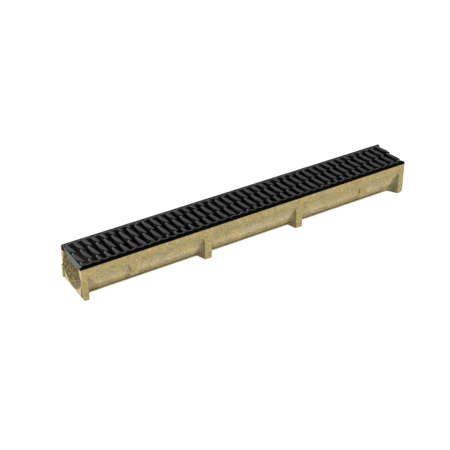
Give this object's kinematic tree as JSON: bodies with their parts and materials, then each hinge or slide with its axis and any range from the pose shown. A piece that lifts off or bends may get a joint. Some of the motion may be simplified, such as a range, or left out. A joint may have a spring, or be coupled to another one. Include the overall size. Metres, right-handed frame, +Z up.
{
  "type": "drainage channel with gratings",
  "caption": "Straight drainage channel: ribbed cast trough with round floor, dark edge rails and slotted iron gratings with raised leaf-shaped bars.",
  "frame": {"origin": "middle of the length and of the width, on the plane that the feet stand on", "axes": "+X along the channel to the socket end, +Y across it to the back wall, +Z up"},
  "size_m": [1.006, 0.118, 0.102],
  "materials": {
    "polymer_concrete": "fine mixed-grain cast surface, matt",
    "rail_black": "black satin coat",
    "grating_iron": "dark grey coated casting, matt"
  },
  "bodies": {
    "root": {"channel_body": "polymer_concrete", "edge_rail_front": "rail_black", "edge_rail_back": "rail_black", "grating_left": "grating_iron", "grating_right": "grating_iron"}
  },
  "joints": []
}
